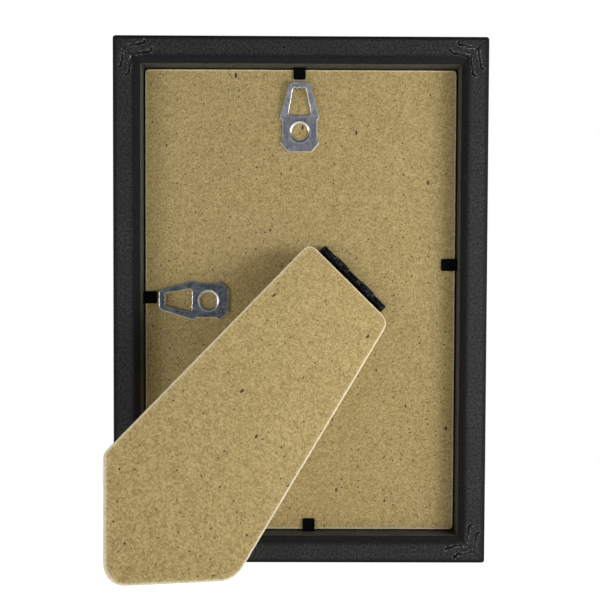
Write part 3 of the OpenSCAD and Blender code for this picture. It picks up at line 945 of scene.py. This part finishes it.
def opening_outline():
    """The loop's opening with its saw teeth, clockwise."""
    narrow_x, narrow_y = OPENING_HALF[-1]
    pitch = 2 * narrow_x / TEETH
    teeth = []
    for i in range(TEETH):
        teeth.append((narrow_x - i * pitch, narrow_y))
        teeth.append((narrow_x - (i + 0.5) * pitch, narrow_y + TOOTH_DEPTH))
    left = [(-x, y) for x, y in reversed(OPENING_HALF)]
    return anticlockwise([Vector(p) for p in (*OPENING_HALF[:-1], *teeth, *left)])[::-1]


def collar_rows():
    """Rows from the sheet's upper face through the drawn collar and back to its lower face, paler round the
    collar's lip as a painted highlight.
    """
    rows = [(COLLAR_LIP_R + 0.55, HANGER_T, 0), (COLLAR_LIP_R + 0.22, HANGER_T + 0.4 * COLLAR_BEAD, 0.1)]
    rows.append((COLLAR_LIP_R + 0.05, HANGER_T + COLLAR_BEAD, 0.4))
    steps = 8
    for i in range(1, steps + 1):
        angle = math.pi / 2 * (1 - i / steps)
        out = COLLAR_LIP_R * (1 - math.cos(angle))
        z = HANGER_T - COLLAR_LIP_R * (1 - math.sin(angle))
        rows.append((out, z, 0.9))
    rows += [(0, -COLLAR_DEPTH, 0.2), (COLLAR_WALL, -COLLAR_DEPTH, 0.2), (COLLAR_WALL, 0, 0)]
    return rows


def lift_loop(vertex):
    """Bends a hanger's loop away from the board, with a small radius at the bend."""
    reach = vertex.co.y - BEND_Y
    if reach <= 0:
        return
    ease = 0.6
    rise = reach * reach / (2 * ease) if reach < ease else reach - ease / 2
    vertex.co.y -= vertex.co.z * math.sin(LOOP_BEND) * min(1.0, reach / ease)
    vertex.co.y -= reach * (1 - math.cos(LOOP_BEND))
    vertex.co.z += rise * math.sin(LOOP_BEND)


def hanger_place(node):
    """A hanger's own axes from its CAD node: the collar's centre, and Y towards the loop."""
    inverse = PLACE.inverted()
    points = [inverse @ v.co for v in NODES[node].data.vertices]
    collar = [p for p in points if p.z < BOARD_TOP - COLLAR_DEPTH / 2]
    centre = sum(collar, Vector()) / len(collar)
    centre.x = (min(p.x for p in collar) + max(p.x for p in collar)) / 2
    centre.y = (min(p.y for p in collar) + max(p.y for p in collar)) / 2
    centre.z = BOARD_TOP
    tip = [p for p in points if (p - centre).length > max((q - centre).length for q in points) - 0.8]
    towards = sum(tip, Vector()) / len(tip) - centre
    turn = math.atan2(-towards.x, towards.y)
    return PLACE @ Matrix.Translation(centre) @ Matrix.Rotation(turn, 4, "Z")


def make_hanger(node, material):
    """A stamped hanger: rounded sheet edges, a bent-out toothed loop and a drawn collar."""
    rows = rim_rows(SHEET_RIM, 0, HANGER_T)
    outline = softened(resampled(anticlockwise(mirrored(HANGER_HALF)), HANGER_STEP), 2)
    opening = softened(resampled(opening_outline(), HANGER_STEP), 1)
    count = 72
    angles = [-math.tau * i / count for i in range(count)]
    around = [Vector((math.cos(a), math.sin(a))) * COLLAR_R for a in angles]
    bm = plate([(outline, rows), (opening, rows), (around, collar_rows())], 0.6)
    for vertex in bm.verts:
        lift_loop(vertex)
    mesh = to_mesh("stamped_" + node, bm)
    return make_piece("stamped_" + node, mesh, hanger_place(node), material, "frame", "zinc_steel", node)


def make_hangers():
    make_hanger("hanger_top", ZINC)
    # Darker copy for the side hanger: painted shade.
    make_hanger("hanger_side", ZINC_PAINTED_SHADE)


# ---------------------------------------------------------------- hinge

KNUCKLES = 5
KNUCKLE_GAP = 0.2
KNUCKLE_R = 1.3
LEAF_T = 0.55
LEAF_L = 13.0
LEAF_NOTCH = 1.55
HINGE_PLACE = axes_matrix(LEG_X, OUT.cross(LEG_X), OUT, LEG_HINGE)
# Plate axes to hinge axes: a section drawn in the plate's X and Y stands across the hinge's axis
ACROSS = Matrix(((0, 0, 1, 0), (1, 0, 0, 0), (0, 1, 0, 0), (0, 0, 0, 1)))
STOP_PLAY = 0.03
HEEL_REACH = 1.65
WIRE_RIM = ((0.14, 0, 0), (0.07, 0.01, 0.6), (0.02, 0.05, 1), (0, 0.12, 0.5))


def strip_outline(path):
    """Outline of a strip of sheet steel whose middle follows a path."""
    left = []
    right = []
    for i, point in enumerate(path):
        along = (path[min(i + 1, len(path) - 1)] - path[max(i - 1, 0)]).normalized()
        side = Vector((-along.y, along.x)) * LEAF_T / 2
        left.append(point + side)
        right.append(point - side)
    return anticlockwise(left + right[::-1])


def rolled_path(lead_in, start, end):
    """Middle of a strip that comes in over some points and rolls round the pin, in degrees."""
    radius = KNUCKLE_R - LEAF_T / 2
    steps = 28
    angles = [math.radians(start + (end - start) * i / steps) for i in range(steps + 1)]
    return [Vector(p) for p in lead_in] + [Vector((math.cos(a), math.sin(a))) * radius for a in angles]


def joined(parts):
    """One bmesh from several, each moved by its matrix."""
    whole = bmesh.new()
    for bm, matrix in parts:
        bm.transform(matrix)
        mesh = to_mesh("part", bm)
        whole.from_mesh(mesh)
        bpy.data.meshes.remove(mesh)
    return whole


def leaf_sheet(left, right, low):
    """Flat part of a leaf, beyond the notches between its knuckles."""
    corners = [(left, -LEAF_NOTCH), (left, -LEAF_L), (right, -LEAF_L), (right, -LEAF_NOTCH)]
    loop = softened(resampled([Vector(p) for p in corners], 0.4), 8)
    return plate([(anticlockwise(loop), rim_rows(WIRE_RIM, low, low + LEAF_T))], 3.0)


def knuckle_span(left, right, number):
    """Ends of a knuckle along the hinge."""
    length = (right - left - (KNUCKLES - 1) * KNUCKLE_GAP) / KNUCKLES
    start = left + number * (length + KNUCKLE_GAP)
    return start, start + length


def make_leaf(node, place, low, numbers, path, extra, body):
    """A leaf with its sheet and its rolled knuckles, some of which carry extra sections."""
    inverse = HINGE_PLACE.inverted()
    along = [(inverse @ v.co).x for v in NODES["hinge_pin"].data.vertices]
    left, right = min(along), max(along)
    parts = [(leaf_sheet(left, right, low), Matrix())]
    to_place = place.inverted() @ HINGE_PLACE
    for number in numbers:
        rows = rim_rows(WIRE_RIM, *knuckle_span(left, right, number))
        parts.append((plate([(strip_outline(path), rows)], 5.0), ACROSS))
        for section in extra:
            parts.append((plate([(section, rows)], 5.0), to_place @ ACROSS))
    bm = joined(parts)
    mesh = to_mesh("rolled_" + node, bm)
    return make_piece("rolled_" + node, mesh, place, HINGE_BLACK, body, "hinge_steel", node, angle=50)


def make_hinge():
    """Board leaf on the board, leg leaf under the leg, with a stop heel on its knuckles."""
    axis_lift = (LEG_HINGE - ORIGIN).dot(OUT) / MM - BOARD_TOP
    sheet = -axis_lift + LEAF_T / 2
    board_path = rolled_path([(-3, sheet), (-1.6, sheet), (-0.8, sheet + 0.06)], -80, 215)
    make_leaf("hinge_board_leaf", HINGE_PLACE, -axis_lift, (0, 2, 4), board_path, [], "frame")
    leg_low = depth_range("easel_leg", LEG_PLACE)[0] - LEAF_T
    sheet = leg_low + LEAF_T / 2
    leg_path = rolled_path([(-3, sheet), (-2.1, sheet), (-1.5, sheet - 0.2), (-1.1, sheet - 0.45)], 235, 515)
    foot = STOP_PLAY - axis_lift
    heel = [(0.3, foot), (HEEL_REACH, foot), (HEEL_REACH + 0.1, foot + 0.4), (1.25, -0.1), (0.8, -0.3)]
    heel = softened(resampled(anticlockwise([Vector(p) for p in heel]), 0.1), 3)
    make_leaf("hinge_leg_leaf", LEG_PLACE, leg_low, (1, 3), leg_path, [heel], "leg")


# ---------------------------------------------------------------- carried-over CAD nodes

NODE_EASE = 0.08


def ease_node(name, material, width=NODE_EASE):
    """Gives a CAD node its material, and eases its edges by a width in millimetres, if any."""
    node = NODES[name]
    node.data.materials.clear()
    node.data.materials.append(material)
    if width:
        weld = node.modifiers.new("weld", "WELD")
        weld.merge_threshold = 1e-6
        bevel = node.modifiers.new("ease", "BEVEL")
        bevel.width = width * MM
        bevel.segments = 2
        bevel.limit_method = "ANGLE"
        bevel.angle_limit = math.radians(30)
        bevel.harden_normals = False
    return node


def finish_nodes():
    ease_node("hinge_pin", PIN_STEEL)
    for side in ("top", "bottom", "left", "right"):
        ease_node("retainer_tab_" + side, TAB_BLACK, 0.06)
        ease_node("retainer_root_" + side, TAB_BLACK, 0.06)
    ease_node("corner_v_nails", NAIL_STEEL, 0)
    ease_node("glass_pane", GLASS, 0.2)
    ease_node("picture_insert", PRINT, 0)


# ---------------------------------------------------------------- studio

FLOOR_SIZE = 3.0
FLOOR_STEPS = 24
FLOOR_LOW = (0.7, 0.7, 0.7)
FLOOR_HIGH = (0.74, 0.74, 0.74)
SPREAD = 0.8
LAMP_SIZE = 150
LOW_LAMP_SIZE = 90
FRONT_START = 0.0
FRONT_FULL = 0.7
SIDE_LEVEL = 1.06
FRONT_LEVEL = 0.2
LEFT_SHARE = 0.8
RIGHT_SHARE = 1.2
LOW_SHARE = 1.3
HIGH_SHARE = 0.1
KEY_WATTS = 0.66
LEFT_WATTS = 0.7
LOW_WATTS = 0.1
FLOOR_GLOW = 0.5
FLOOR_SHINE = 0.5


def floor_material():
    """Pale floor that glows evenly, and a little more to the camera, so that it looks white."""
    s = Shader("pale_floor")
    place = s.coords(attribute=None)
    s.set(Roughness=0.9, Specular_IOR_Level=0.1)
    s.colour(s.mix(s.noise(place, 60.0, 2.0), FLOOR_LOW, FLOOR_HIGH))
    s.set(Emission_Color=(1, 1, 1, 1))
    seen = s.add("ShaderNodeLightPath").outputs["Is Camera Ray"]
    glow = s.math("ADD", s.math("MULTIPLY", seen, FLOOR_GLOW), FLOOR_SHINE)
    s.link(glow, s.surface.inputs["Emission Strength"])
    return s.material


def make_floor():
    bm = bmesh.new()
    bmesh.ops.create_grid(bm, x_segments=FLOOR_STEPS, y_segments=FLOOR_STEPS, size=FLOOR_SIZE)
    mesh = bpy.data.meshes.new("floor")
    bm.to_mesh(mesh)
    bm.free()
    mesh.materials.append(floor_material())
    floor = bpy.data.objects.new("floor", mesh)
    bpy.context.scene.collection.objects.link(floor)


def area_light(name, at, target, size, watts):
    """Soft lamp, placed and aimed in local millimetres."""
    data = bpy.data.lights.new(name, "AREA")
    data.shape = "DISK"
    data.size = size * MM
    data.energy = watts
    lamp = bpy.data.objects.new(name, data)
    bpy.context.scene.collection.objects.link(lamp)
    place = PLACE @ Vector(at)
    aim = PLACE @ Vector(target)
    lamp.location = place
    lamp.rotation_euler = (aim - place).to_track_quat("-Z", "Y").to_euler()


def make_world():
    """White to look at. As light it is a room of soft boxes on all sides, dim in front."""
    world = bpy.data.worlds.new("studio")
    world.use_nodes = True
    tree = world.node_tree
    tree.nodes.clear()

    def node(kind, **settings):
        made = tree.nodes.new(kind)
        for key, value in settings.items():
            setattr(made, key, value)
        return made

    def toward(direction, low, high, at_low, at_high):
        """Light level that changes with how far a ray heads in a direction."""
        dot = node("ShaderNodeVectorMath", operation="DOT_PRODUCT")
        dot.inputs[1].default_value = direction
        tree.links.new(place.outputs["Generated"], dot.inputs[0])
        level = node("ShaderNodeMapRange", interpolation_type="SMOOTHSTEP")
        for socket, value in zip(level.inputs[1:5], (low, high, at_low, at_high)):
            socket.default_value = value
        tree.links.new(dot.outputs["Value"], level.inputs[0])
        return level.outputs[0]

    def times(a, b):
        product = node("ShaderNodeMath", operation="MULTIPLY")
        tree.links.new(a, product.inputs[0])
        tree.links.new(b, product.inputs[1])
        return product.outputs[0]

    place = node("ShaderNodeTexCoord")
    ring = toward(OUT, FRONT_START, FRONT_FULL, SIDE_LEVEL, FRONT_LEVEL)
    light = times(ring, toward(RIGHT, -SPREAD, SPREAD, LEFT_SHARE, RIGHT_SHARE))
    light = times(light, toward(UP, -SPREAD, SPREAD, LOW_SHARE, HIGH_SHARE))
    rays = node("ShaderNodeLightPath")
    mix = node("ShaderNodeMix")
    mix.inputs[3].default_value = 1.0
    background = node("ShaderNodeBackground")
    background.inputs[0].default_value = (1, 1, 1, 1)
    output = node("ShaderNodeOutputWorld")
    tree.links.new(rays.outputs["Is Camera Ray"], mix.inputs[0])
    tree.links.new(light, mix.inputs[2])
    tree.links.new(mix.outputs[0], background.inputs[1])
    tree.links.new(background.outputs[0], output.inputs[0])
    bpy.context.scene.world = world


def make_studio():
    make_floor()
    make_world()
    bpy.context.scene.view_settings.view_transform = "Standard"
    area_light("key", (300, 20, 150), (0, -60, 0), LAMP_SIZE, KEY_WATTS)
    area_light("left", (-330, -30, 180), (0, -40, 0), LAMP_SIZE, LEFT_WATTS)
    area_light("low", (200, -20, 150), (20, -70, 0), LOW_LAMP_SIZE, LOW_WATTS)


make_moulding()
make_hardboard()
make_hangers()
make_hinge()
finish_nodes()
make_studio()
